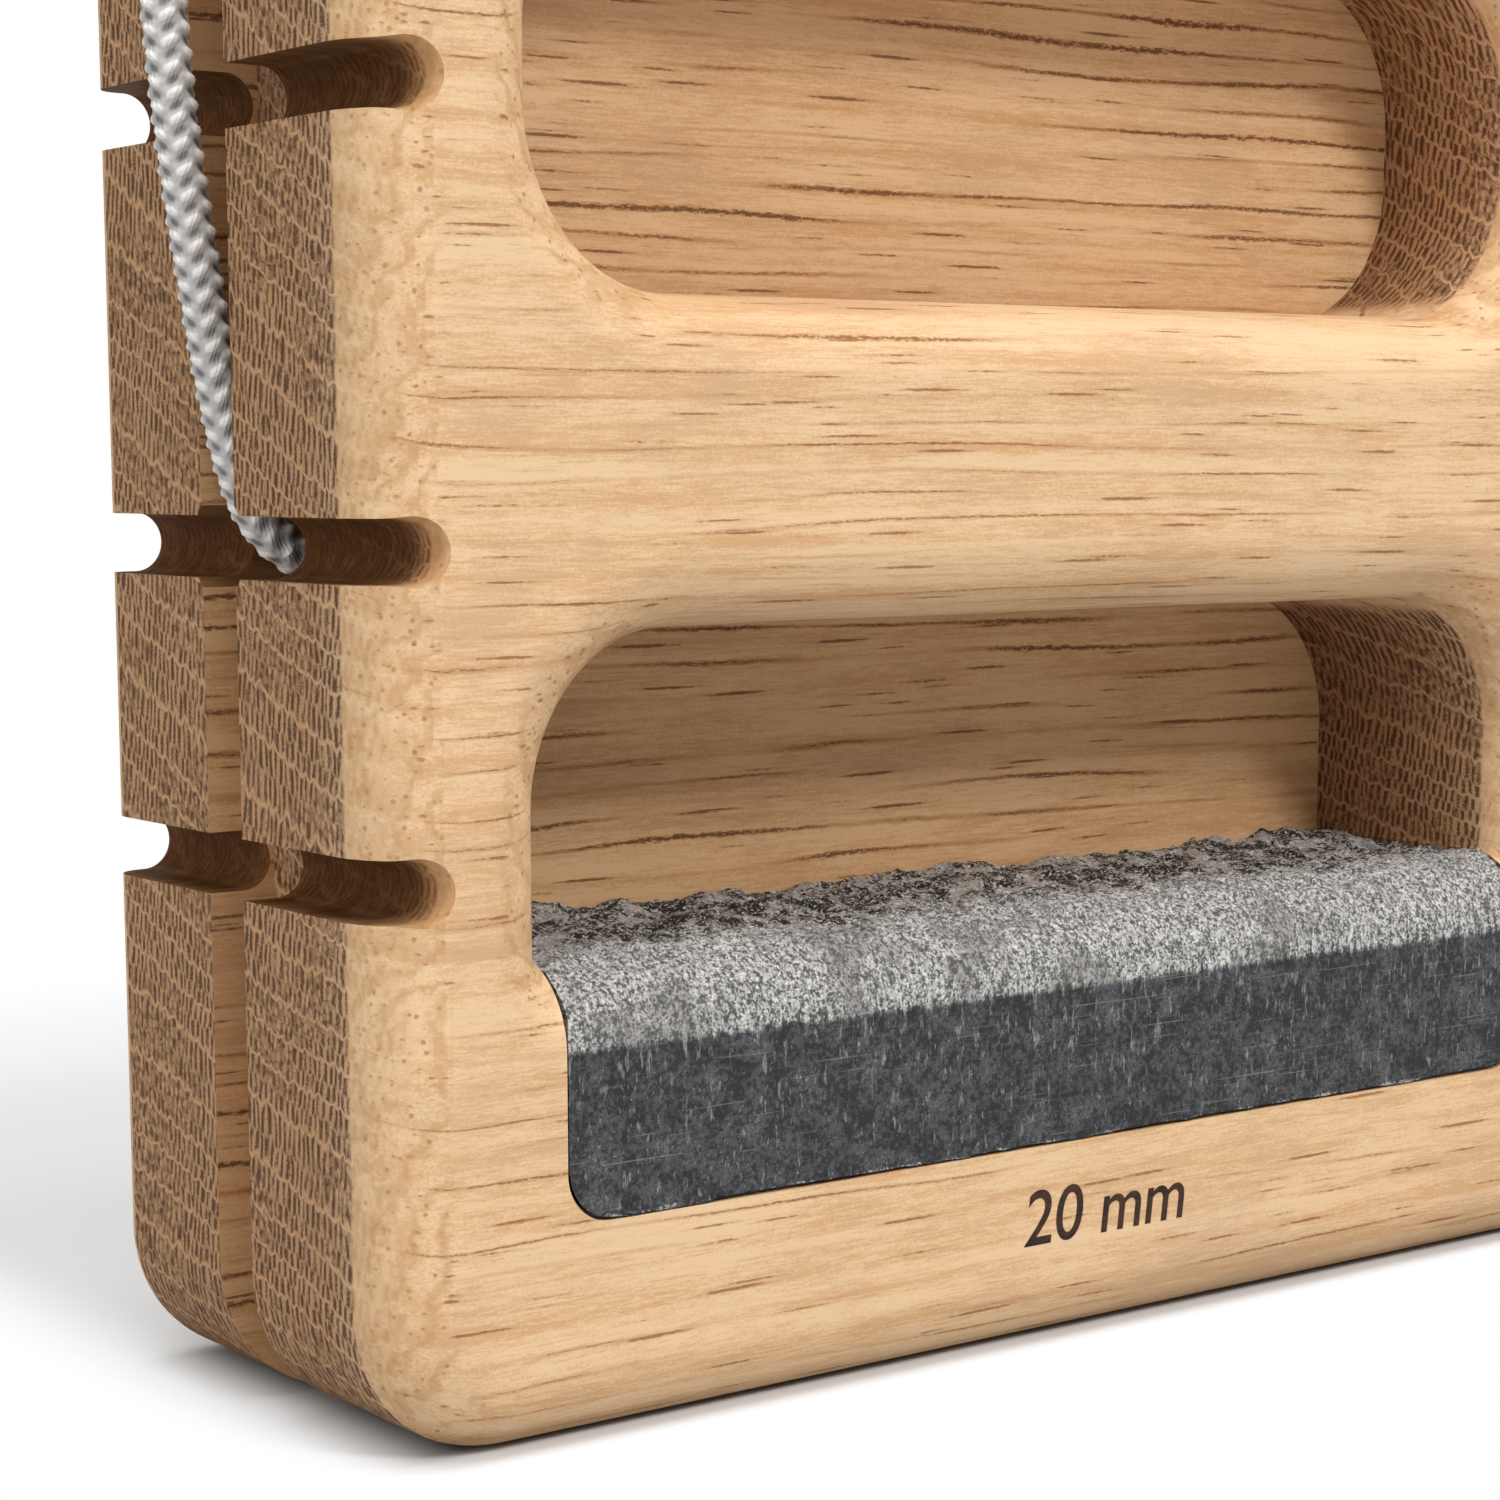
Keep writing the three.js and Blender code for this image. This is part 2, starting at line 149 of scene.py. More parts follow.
TINTS = {
    "cloud": (0.6, 0.455, 0.325),
    "vein": (0.48, 0.225, 0.074),
    "trail": (0.44, 0.225, 0.092),
    "front_pore": (0.27, 0.088, 0.017),
    "contour": (0.5, 0.265, 0.1),
    "dot": (0.27, 0.11, 0.03),
    "sanded_dark": (0.54, 0.31, 0.135),
    "sanded_light": (0.8, 0.57, 0.33),
    # painted shade for the pockets' end walls near their back corners
    "painted_nook_shade": (0.62, 0.52, 0.44),
    # browner tone of the less sanded inner faces, partly painted shade of the pockets and groove
    "browned": (0.85, 0.75, 0.64),
    # cut faces of the notches and bore, partly painted shade
    "tooled_and_shaded": (0.4, 0.185, 0.058),
    "stone_grain": (0.08, 0.084, 0.09),
    "fleck": (0.21, 0.22, 0.23),
    "streak": (0.32, 0.33, 0.34),
    "spark": (0.5, 0.51, 0.52),
    "scratch": (0.34, 0.35, 0.36),
    "chip": (0.46, 0.45, 0.43),
    "crushed_dark": (0.085, 0.087, 0.088),
    "crushed_bright": (0.88, 0.88, 0.87),
    "crushed_blotch": (0.11, 0.107, 0.1),
    "split_dark": (0.014, 0.014, 0.0135),
    "split_light": (0.42, 0.4, 0.375),
    "split_bright": (0.86, 0.84, 0.81),
    "split_blotch": (0.04, 0.038, 0.036),
    "bond_dark": (0.02, 0.015, 0.012),
    "bond_light": (0.06, 0.042, 0.03),
    "char": (0.012, 0.006, 0.004),
    "char_brown": (0.06, 0.022, 0.01),
    "yarn_pit": (0.17, 0.165, 0.165),
    "yarn_flank": (0.54, 0.535, 0.53),
    "yarn_fuzz": (0.6, 0.595, 0.585),
    "floor": (0.89, 0.915, 0.945),
    # painted floor shadows, behind and under the block
    "floor_painted_shadow_behind": (0.79, 0.81, 0.835),
    "floor_painted_contact_shadow": (0.1, 0.1, 0.1),
    "floor_to_lamps": (0.5, 0.5, 0.5),
}


def chosen(group):
    """The user's choices in a group of properties."""
    return getattr(bpy.context.scene, PREFIX + group)


def tone(name):
    """A lesser tint or a user's colour, by its name."""
    return TINTS.get(name) or getattr(chosen("finishes"), name)


# Shader building

class Signal:
    """A socket that carries a number and takes part in Python arithmetic."""

    def __init__(self, finish, socket):
        self.finish = finish
        self.socket = socket

    def __add__(self, other):
        return self.finish.math("ADD", self, other)

    def __radd__(self, other):
        return self.finish.math("ADD", other, self)

    def __sub__(self, other):
        return self.finish.math("SUBTRACT", self, other)

    def __rsub__(self, other):
        return self.finish.math("SUBTRACT", other, self)

    def __mul__(self, other):
        return self.finish.math("MULTIPLY", self, other)

    def __truediv__(self, other):
        return self.finish.math("DIVIDE", self, other)

    def __abs__(self):
        return self.finish.math("ABSOLUTE", self)


class Finish:
    """One procedural material under construction."""

    def __init__(self, name):
        self.material = bpy.data.materials.new(name)
        self.material.use_nodes = True
        self.tree = self.material.node_tree
        self.shader = self.tree.nodes["Principled BSDF"]

    def add(self, kind, inputs=None, output=0, **settings):
        node = self.tree.nodes.new("ShaderNode" + kind)
        for key, value in settings.items():
            setattr(node, key, value)
        for key, value in (inputs or {}).items():
            self.feed(node.inputs[key], value)
        return Signal(self, node.outputs[output])

    def feed(self, socket, value):
        if isinstance(value, str):
            value = tone(value)
        if isinstance(value, Signal):
            self.tree.links.new(value.socket, socket)
        elif socket.type == "RGBA":
            socket.default_value = (*value, 1.0)
        else:
            socket.default_value = value

    def set(self, **values):
        for name, value in values.items():
            self.feed(self.shader.inputs[name.replace("_", " ")], value)

    def math(self, operation, *values):
        return self.add("Math", dict(enumerate(values)), operation=operation)

    def place(self, scale=(1.0, 1.0, 1.0), turn=(0.0, 0.0, 0.0), shift=(0.0, 0.0, 0.0)):
        """Coordinates in millimetres, stretched by scale."""
        return self.add("Mapping", {
            "Vector": self.add("TexCoord", output="Object"),
            "Location": shift,
            "Rotation": turn,
            "Scale": tuple(MM_PER_METRE * s for s in scale),
        })

    def noise(self, where, detail=3.0, roughness=0.5, **placing):
        """Noise at a vector, or at the coordinates stretched by a scale."""
        vector = where if isinstance(where, Signal) else self.place(where, **placing)
        return self.add("TexNoise", {"Vector": vector, "Scale": 1.0, "Detail": detail,
                                     "Roughness": roughness})

    def pits(self, vector):
        """Distance to the nearest of many scattered points."""
        return self.add("TexVoronoi", {"Vector": vector, "Scale": 1.0, "Randomness": 1.0},
                        voronoi_dimensions="3D", feature="F1")

    def ramp(self, value, *stops):
        """The brightness that each stop gives at its place, and a rise or fall between."""
        shades = self.add("ValToRGB", {"Fac": value})
        elements = shades.socket.node.color_ramp.elements
        while len(elements) < len(stops):
            elements.new(0.5)
        for element, (place, shade) in zip(elements, stops):
            element.position = place
            element.color = (shade, shade, shade, 1.0)
        return shades

    def split(self, vector):
        outputs = self.add("SeparateXYZ", {0: vector}).socket.node.outputs
        return [Signal(self, socket) for socket in outputs]

    def join(self, x, y, z):
        return self.add("CombineXYZ", {0: x, 1: y, 2: z})

    def mix(self, factor, first, second, blend="MIX"):
        return self.add("Mix", {0: factor, 6: first, 7: second}, 2,
                        data_type="RGBA", blend_type=blend)

    def layers(self, colour, *pairs):
        """Tints laid over a colour, each by its share."""
        for share, name in pairs:
            colour = self.mix(share, colour, name)
        return colour

    def step(self, value, low, high):
        """0 below low, 1 above high and a smooth rise between."""
        return self.add("MapRange", {"Value": value, "From Min": low, "From Max": high},
                        interpolation_type="SMOOTHSTEP")

    def bump(self, height, distance, strength, normal=None):
        inputs = {"Height": height, "Distance": distance * MM, "Strength": strength}
        if normal is not None:
            inputs["Normal"] = normal
        return self.add("Bump", inputs)


def oak_finish(tooled_and_shaded=False):
    """Solid oak: the same figure runs through every face, as grain or as end grain."""
    f = Finish("oak_tooled" if tooled_and_shaded else "oak")
    x, y, z = f.split(f.place())
    drift = f.noise((0.006, 0.03, 0.03), detail=2.0)
    ring = z - y * (z * 0.0042 + 0.19) + drift * 7.0
    around = y + z * 0.08
    spacing = f.noise(f.join(ring * 0.09, 0.0, 0.0), detail=1.0)
    paced = (ring + spacing * 6.0) / 2.7
    phase = f.math("FRACT", paced)

    # Long grain: fibres, soft bands and rows of ragged veins, dark where vessels lie open
    early = f.ramp(phase, (0.0, 0.9), (0.1, 1.0), (0.4, 0.25), (0.85, 0.0), (1.0, 0.9))
    inner = f.step(y, -13.5, -8.0)
    bend = f.noise((0.02, 0.05, 0.05), shift=(5.0, 0.0, 0.0), detail=1.0) * 3.0
    fibre = f.noise((0.5, 6.5, 6.5), roughness=0.75)
    grit = f.noise((5.0, 9.0, 9.0), detail=2.0, roughness=0.6)
    strand = f.noise(f.join(x * 0.03, y * 0.9 + bend, z * 0.9 + bend), detail=4.0, roughness=0.65)
    cloud = f.noise((0.06, 0.16, 0.16), detail=4.0, roughness=0.65)
    shade = early * 0.08 + fibre * 0.55 + grit * 0.35 + strand * 0.55 + cloud * 0.45
    grain = f.mix(f.step(shade, 0.85, 1.15), "oak", "oak_dark")
    grain = f.mix(f.step(cloud + fibre * 0.3, 0.62, 0.86) * 0.3, grain, "cloud")
    wander = f.noise(f.join(x * 0.018, ring * 0.15, 3.0), detail=2.0) * 1.6
    tremble = f.noise(f.join(x * 0.7, ring * 0.8, 8.0), roughness=0.6) * 0.14
    vein_place = ring / 1.75 + wander + tremble
    vein_row = f.math("FLOOR", vein_place)
    vein_gap = abs(f.math("FRACT", vein_place) - 0.5)
    presence = f.noise(f.join(x * 0.032, vein_row * 5.7, y * 0.3), detail=2.0, roughness=0.6)
    presence = presence + inner * 0.06
    ragged = f.noise((2.2, 7.0, 7.0), detail=2.0, roughness=0.7) - 0.5
    nx, ny, _ = f.split(f.add("TexCoord", output="Normal"))
    across = abs(nx)
    faint = (1.0 - f.step(vein_gap + ragged * 0.12, 0.02, 0.13)) * f.step(presence, 0.44, 0.6)
    faint = faint * (1.0 - f.step(across, 0.1, 0.6) * 0.75)
    core = 1.0 - f.step(vein_gap / (1.0 + inner) + ragged * 0.26, 0.01, 0.055)
    dark = core * f.step(presence + ragged * 0.5, 0.56, 0.63)
    grain = f.mix(faint * (0.4 + inner * 0.25), grain, "vein")
    long_pits = f.pits(f.join(x * 0.08, y * 1.9 + bend, z * 1.9 + bend))
    late = (1.0 - early) * 0.11
    trail = 1.0 - f.step(long_pits + late + ragged * 0.18, 0.13, 0.38)
    dash = 1.0 - f.step(long_pits + late + ragged * 0.34, 0.13, 0.24)
    grain = f.mix(trail * 0.4, grain, "trail")
    pores = f.math("MAXIMUM", dark, dash * 0.85)
    pores = pores * (0.8 + inner * 0.08) * (1.0 - f.step(across, 0.15, 0.75) * 0.6)
    grain = f.mix(pores, grain, f.mix(inner, "front_pore", "pore"))

    # Rings surface as contour bands where the front's round turns to the side
    bands = f.math("FRACT", across * 2.3 + z * 0.19 + cloud * 5.0)
    contour = 1.0 - f.step(abs(bands - 0.5) + ragged * 0.1, 0.02, 0.3)
    contour = contour * f.step(across, 0.1, 0.3) * (1.0 - inner)
    grain = f.mix(contour * 0.48, grain, "contour")
    dots = 1.0 - f.step(f.pits(f.place((1.15, 1.15, 1.15))) + ragged * 0.2, 0.1, 0.22)
    dots = dots * f.step(across, 0.08, 0.4) * (1.0 - inner)
    grain = f.mix(dots * 0.62, grain, "dot")

    # End grain: pale wavy ring lines with close dark strokes across the rings between them
    waver = f.noise(f.join(around * 0.9, ring * 0.5, x * 0.2), roughness=0.65)
    jitter = f.noise(f.join(around * 0.5, ring * 0.22, x * 0.2), detail=2.0) * 12.0
    scallop = f.math("SINE", around * 2.6 + jitter * 0.6)
    wavy = paced + waver * 0.36 + abs(scallop) * 0.13
    turn = f.math("FLOOR", wavy * 2.0)
    wavy = f.math("FRACT", wavy)
    lines = f.ramp(wavy, (0.0, 1.0), (0.05, 0.8), (0.11, 0.0), (0.94, 0.0), (1.0, 1.0))
    half_line = f.ramp(wavy, (0.42, 0.0), (0.48, 0.75), (0.54, 0.0))
    comb = f.math("SINE", around * 10.5 + jitter + turn * 2.4)
    strokes = f.noise(f.join(around * 2.4 + turn * 7.3, ring * 0.4, x * 0.3), roughness=0.7)
    rough = (fibre + grit - 1.0) * 0.9
    stroke = f.step(comb * 0.28 + strokes * 1.5 + rough, 0.48, 1.02)
    cells = f.pits(f.join(around * 2.4 + jitter * 0.1, ring * 1.9, 0.0))
    net = (1.0 - f.step(cells - rough * 0.3, 0.34, 0.64)) * 0.55 + stroke * 0.45
    coarse = f.noise((0.02, 0.13, 0.13), shift=(3.0, 1.0, 2.0), detail=2.0)
    choice = f.step(coarse, 0.44, 0.6)
    pale = stroke * (1.0 - choice) * 0.8 + net * choice * 0.85
    pale = f.math("MAXIMUM", pale, lines)
    pale = f.math("MAXIMUM", pale, half_line * (0.4 + strokes))
    pale = pale * (0.62 + fibre * 0.4 + grit * 0.4)
    ends = f.mix(pale, "end_grain", "end_light")

    # Side faces and outline corners show sharp end grain, sanded rounds a faint one
    side = f.step(across, 0.32, 0.56) * (1.0 - f.step(abs(ny), 0.1, 0.17))
    sanded = f.step(across, 0.35, 0.95) * 0.34
    share = side + (1.0 - side) * sanded
    faded = f.mix(pale, "sanded_dark", "sanded_light")
    colour = f.mix(side, f.mix(sanded, grain, faded), ends)
    # Painted shade: the pockets' end-grain walls darken towards the back corners
    painted_nook_shade = side * (1.0 - f.step(abs(x), 42.0, 46.0)) * f.step(y, -12.0, 2.0)
    colour = f.mix(painted_nook_shade * 0.75, colour, "painted_nook_shade", "MULTIPLY")
    # Inner faces from the pockets to the groove, and end grain inside the pockets, multiplied
    # darker and browner: partly their less sanded tone, partly painted shade of the hollows
    deep = f.step(y, -12.0, 6.0) * (1.0 - f.step(y, 8.0, 14.0))
    browned = f.math("MAXIMUM", side * inner, deep)
    colour = f.mix(browned * 0.88, colour, "browned", "MULTIPLY")
    relief = pores * -1.0 + fibre * 0.15 + grit * 0.15 + share * (pale * 0.55)
    normal = f.bump(relief, 0.1, 0.6)
    if tooled_and_shaded:
        # Notch and bore walls: browner overall and darker away from the front mouth, partly router
        # scorch and partly painted shade of the narrow slots
        patchy = f.noise((0.4, 0.9, 0.9), detail=2.0)
        notch_shade_and_burn = f.step(y, -15.6, -13.0) * (0.6 + patchy * 0.5)
        colour = f.mix(0.5, colour, "tooled_and_shaded")
        colour = f.mix(notch_shade_and_burn * 0.9, colour, "scorch_and_notch_shade")
        chatter = f.noise(f.join(0.0, y * 1.9, 0.0), detail=2.0)
        normal = f.bump(chatter, 0.14, 0.6, normal)
    f.set(Base_Color=colour, Roughness=0.56 + pores * 0.25 + side * 0.08, Normal=normal,
          Specular_IOR_Level=0.06 if tooled_and_shaded else 0.34)
    return f.material


def stone_finish():
    """Dark fine-grained stone: sawn in front, crushed pale where it is rounded and split."""
    f = Finish("stone")
    x, y, z = f.split(f.place())
    grit = f.noise((3.0, 3.0, 3.0), detail=4.0, roughness=0.75)
    mottle = f.noise((0.5, 0.5, 0.5), detail=5.0, roughness=0.68)
    flecks = f.noise((5.5, 5.5, 5.5), shift=(9.0, 0.0, 0.0), detail=2.0, roughness=0.6)
    streak = f.noise((3.0, 3.0, 0.8), shift=(2.0, 0.0, 5.0), roughness=0.7)
    scratch = f.noise((0.12, 3.0, 7.5), turn=(0.0, 0.42, 0.0), detail=2.0)
    lift = f.step(z + (mottle - 0.5) * 0.7 + (streak - 0.5) * 0.9, 23.05, 23.55)
    blotch = f.noise((0.16, 0.16, 0.16), shift=(1.0, 4.0, 0.0), detail=4.0, roughness=0.65)
    back = f.step(y + (blotch - 0.5) * 14.0 + (mottle - 0.5) * 4.0, -12.4, -10.2)
    below = f.step(z, 15.0, 23.0)
    chips = f.step(mottle * 0.6 + flecks * 0.4 - f.step(z, 13.5, 14.1) * 0.4, 0.5, 0.56)
    sawn = f.layers(
        f.mix(f.step(grit * 0.65 + mottle * 0.35, 0.44, 0.58), "stone", "stone_grain"),
        (f.step(flecks * 0.6 + mottle * 0.4, 0.56, 0.65) * 0.5, "fleck"),
        (f.step(streak + below * 0.035, 0.59, 0.71) * 0.6, "streak"),
        (f.step(flecks * 0.6 + streak * 0.4, 0.64, 0.7) * 0.7, "spark"),
        (f.step(scratch, 0.66, 0.74) * 0.35, "scratch"),
        (chips * 0.75, "chip"))
    crushed = f.layers(
        f.mix(f.step(grit * 0.4 + streak * 0.3 + flecks * 0.3, 0.44, 0.55),
              "crushed_dark", "stone_split"),
        (f.step(flecks * 0.6 + streak * 0.4, 0.54, 0.62) * 0.6, "crushed_bright"),
        (f.step(blotch + mottle * 0.4, 0.7, 0.86) * 0.5, "crushed_blotch"))
    split = f.layers(
        f.mix(f.step(mottle * 0.6 + grit * 0.4, 0.475, 0.54), "split_dark", "split_light"),
        (f.step(flecks * 0.6 + grit * 0.4, 0.53, 0.59) * 0.75, "split_bright"),
        (f.step(mottle * 0.5 + blotch * 0.5, 0.56, 0.66) * 0.55, "split_blotch"))
    colour = f.mix(lift, sawn, crushed)
    colour = f.mix(back * lift, colour, split)
    normal = f.bump((grit * 0.7 + flecks * 0.3) * (0.16 + lift * 0.84), 0.3, 0.9)
    f.set(Base_Color=colour, Roughness=0.62 + grit * 0.2, Normal=normal, Specular_IOR_Level=0.35)
    return f.material


def adhesive_finish():
    f = Finish("adhesive")
    lumps = f.noise((1.1, 1.1, 1.1))
    colour = f.mix(f.step(lumps, 0.35, 0.65), "bond_dark", "bond_light")
    f.set(Base_Color=colour, Roughness=0.35 + lumps * 0.2, Normal=f.bump(lumps, 0.1, 0.5))
    return f.material


def burnt_finish():
    """Char of the burnt figures, browner where the iron touched lightly."""
    f = Finish("burnt_mark")
    fibre = f.noise((0.25, 3.0, 3.0), detail=4.0, roughness=0.7)
    patch = f.noise((0.8, 0.8, 0.8))
    depth = f.step(fibre * 0.6 + patch * 0.5, 0.42, 0.66)
    colour = f.mix(depth, "char", "char_brown")
    f.set(Base_Color=colour, Roughness=0.75 + fibre * 0.15, Normal=f.bump(fibre, 0.05, 0.6))
    return f.material


def braid_finish():
    """Glossy white yarn: staggered knobs of fine filaments, with shade in the pits between."""
    cord = chosen("cord")
    f = Finish("braid")
    u, v, _ = f.split(f.add("TexCoord", output="UV"))
    column = u * float(cord.plaits)
    swing = f.math("COSINE", column * math.pi)
    along = v / (cord.stitch / MM) + swing * SWAY
    knob = f.math("COSINE", along * (2.0 * math.pi))
    knob = knob * f.math("SINE", column * math.pi) * 0.5 + 0.5
    filament = f.math("SINE", along * 17.0 + swing * 9.0)
    fuzz = f.noise((1.6, 1.6, 1.6))
    shade = f.mix(f.step(knob, 0.02, 0.42), "yarn_pit", "yarn_flank")
    shade = f.mix(f.step(knob, 0.52, 0.84), shade, "braid")
    shade = f.mix(f.step(fuzz, 0.35, 0.75) * 0.22, shade, "yarn_fuzz")
    normal = f.bump(filament * 0.5 + fuzz * 0.6, 0.035, 0.8)
    f.set(Base_Color=shade, Roughness=0.38 + fuzz * 0.2, Normal=normal, Specular_IOR_Level=0.6)
    return f.material


def floor_finish():
    """Matt paper that the camera sees grey behind and under the block, in painted shadow, and pure
    white beyond.
    """
    f = Finish("pale_floor")
    seen = f.add("LightPath", output="Is Camera Ray")
    px, py, _ = f.split(f.place())
    # A camera-only white glow beside, in front of and far from the block: painted light over the
    # floor's shadow there
    clear = f.math("MAXIMUM", f.step(abs(px), 45.5, 58.0), 1.0 - f.step(py, -17.5, -14.3))
    white = f.math("MAXIMUM", clear, f.step(py, 105.0, 165.0))
    # Painted shadow: a greyer floor behind the block
    behind = f.step(py, 28.0, 60.0) * (1.0 - f.step(py, 85.0, 125.0))
    plain = f.mix(behind, "floor", "floor_painted_shadow_behind")
    # Painted contact shadow: near black under the block's footprint
    under = (1.0 - f.step(abs(px), 47.0, 51.0)) * f.step(py, -14.0, -11.8)
    under = under * (1.0 - f.step(py, 14.5, 18.0))
    plain = f.mix(under * 0.8, plain, "floor_painted_contact_shadow")
    colour = f.mix(seen, "floor_to_lamps", plain)
    f.set(Base_Color=colour, Roughness=0.9, Specular_IOR_Level=0.1)
    glow = f.add("Emission", {"Color": WHITE, "Strength": 1.0})
    both = f.add("MixShader", {0: seen * white, 1: Signal(f, f.shader.outputs[0]), 2: glow})
    f.feed(f.tree.nodes["Material Output"].inputs["Surface"], both)
    return f.material


# Mesh building

OVERRUN = 2 * MM  # how far a cutter stands past the wood
OUTLINE_STEPS = 20  # segments of the block's outline corners
CORNER_STEPS = 16  # segments of every other corner
LIP_STEPS = 14  # segments of the rounds on the front
BACK_STEPS = 6  # segments of the rounds on the back
BORE_SIDES = 64
NEAR_FULL = 0.999  # share of the slot's half width that its round end takes
FLARE_STEPS = 10  # cuts across a notch's flare
SEAT_RISE = 0.2 * MM  # the seat's cutter reaches into the open pocket
LOWER_FOOT = 0.5 * MM  # round where the lower pocket meets the stone


def clamped(value):
    return min(max(value, 0.0), 1.0)


def closed(bm, distance):
    """Weld the seam of a wrapped grid and fill its open ends."""
    bmesh.ops.remove_doubles(bm, verts=bm.verts, dist=distance)
    bmesh.ops.holes_fill(bm, edges=[e for e in bm.edges if e.is_boundary], sides=0)


def placed(name, data):
    thing = bpy.data.objects.new(name, data)
    bpy.context.collection.objects.link(thing)
    return thing


def evaluated(thing):
    """The mesh that the object shows, as a bmesh."""
    graph = bpy.context.evaluated_depsgraph_get()
    bm = bmesh.new()
    bm.from_mesh(thing.evaluated_get(graph).to_mesh())
    return bm


def finished(name, bm, materials, smooth_angle=32.0):
    """Write a bmesh to a new object, smooth but for edges sharper than the angle."""
    bmesh.ops.recalc_face_normals(bm, faces=bm.faces)
    for face in bm.faces:
        face.smooth = True
    for edge in bm.edges:
        if len(edge.link_faces) == 2:
            edge.smooth = edge.calc_face_angle(0.0) < math.radians(smooth_angle)
    mesh = bpy.data.meshes.new(name)
    bm.to_mesh(mesh)
    bm.free()
    for material in materials:
        mesh.materials.append(material)
    return placed(name, mesh)


def round_over(bm, edges, radius, segments):
    bmesh.ops.bevel(bm, geom=edges, offset=radius, offset_type="OFFSET", segments=segments,
                    profile=0.5, affect="EDGES", material=-1)


def prism(left, right, low, high, front, back, low_radius, high_radius, segments=CORNER_STEPS):
    """Box with rounded corners in the front view."""
    bm = bmesh.new()
    bmesh.ops.create_cube(bm, size=1.0)
    bmesh.ops.scale(bm, vec=(right - left, back - front, high - low), verts=bm.verts)
    middle = (low + high) / 2
    bmesh.ops.translate(bm, vec=((left + right) / 2, (front + back) / 2, middle), verts=bm.verts)
    for radius, wanted in ((low_radius, -1), (high_radius, 1)):
        if radius <= 0:
            continue
        edges = [e for e in bm.edges
                 if abs((e.verts[0].co - e.verts[1].co).y) > (back - front) * 0.9
                 and (e.verts[0].co.z - middle) * wanted > 0
                 and abs(abs(e.verts[0].co.z - middle) - (high - low) / 2) < 1e-7]
        round_over(bm, edges, radius, segments)
    return bm


def cut(base, tool, materials=None):
    """The base less the tool, whose faces take the second material where two are given."""
    objects = []
    for label, bm in (("base", base), ("tool", tool)):
        bmesh.ops.recalc_face_normals(bm, faces=bm.faces)
        mesh = bpy.data.meshes.new(label)
        bm.to_mesh(mesh)
        bm.free()
        objects.append(placed(label, mesh))
    modifier = objects[0].modifiers.new("cut", "BOOLEAN")
    modifier.operation = "DIFFERENCE"
    modifier.solver = "EXACT"
    modifier.object = objects[1]
    if materials is not None:
        objects[0].data.materials.append(materials[0])
        objects[0].data.materials.append(materials[1])
        objects[1].data.materials.append(materials[1])
        modifier.material_mode = "TRANSFER"
    result = evaluated(objects[0])
    for thing in objects:
        data = thing.data
        bpy.data.objects.remove(thing)
        bpy.data.meshes.remove(data)
    bmesh.ops.remove_doubles(result, verts=result.verts, dist=1e-7)
    if not result.faces:
        raise RuntimeError("a cut left nothing of the piece")
    return result


def rim_edges(bm, y):
    """Edges where a face in the plane y meets a face that leaves it."""
    def lies(face):
        return abs(face.normal.y) > 0.999 and abs(face.calc_center_median().y - y) < 1e-6
    bm.normal_update()
    return [e for e in bm.edges
            if len(e.link_faces) == 2 and lies(e.link_faces[0]) != lies(e.link_faces[1])
            and all(abs(v.co.y - y) < 1e-6 for v in e.verts)]


def block_with_openings():
    """The block with both mouths rounded over, the stone still one with the wood."""
    s, t = chosen("block"), chosen("stone")
    half, front, back = s.width / 2, -s.thickness / 2, s.thickness / 2
    pocket = s.pocket_width / 2
    stone_top = s.bottom_bar + t.bond + t.height
    ceiling = s.bottom_bar + s.lower_pocket
    floor = ceiling + s.middle_bar
    body = prism(-half, half, 0.0, s.height, front, back, s.corner, s.corner, OUTLINE_STEPS)
    lower = prism(-pocket, pocket, stone_top, ceiling, front - OVERRUN, front + s.lower_depth,
                  LOWER_FOOT, s.pocket_corner)
    upper = prism(-pocket, pocket, floor, floor + s.upper_pocket, front - OVERRUN,
                  front + s.upper_depth, s.pocket_corner, s.pocket_corner)
    body = cut(body, lower)
    body = cut(body, upper)
    round_over(body, rim_edges(body, front), s.lip, LIP_STEPS)
    round_over(body, rim_edges(body, back), s.back_round, BACK_STEPS)
    return body


def notch_cutter():
    """A slot with a round inner end at z 0, opening upwards and flared towards the front."""
    s = chosen("block")
    front, back = -s.thickness / 2, s.thickness / 2
    r, flare, reach = s.notch_height / 2, s.notch_flare, s.notch_flare_length
    slot = prism(-r, r, 0.0, s.notch_depth + OVERRUN, front - OVERRUN, back + OVERRUN,
                 r * NEAR_FULL, 0.0)
    for i in range(FLARE_STEPS + 1):
        plane = front + reach * (1 - math.cos(math.radians(90 / FLARE_STEPS * i)))
        bmesh.ops.bisect_plane(slot, geom=slot.verts[:] + slot.edges[:] + slot.faces[:],
                               plane_co=(0.0, plane, 0.0), plane_no=(0.0, 1.0, 0.0))
    for v in slot.verts:
        depth = clamped((v.co.y - front) / reach)
        widen = flare * (1 - math.sqrt(max(1 - (1 - depth) ** 2, 0.0)))
        away = Vector((v.co.x, 0.0, min(v.co.z - r, 0.0)))
        if away.length > 1e-9:
            v.co += away.normalized() * widen
    return slot


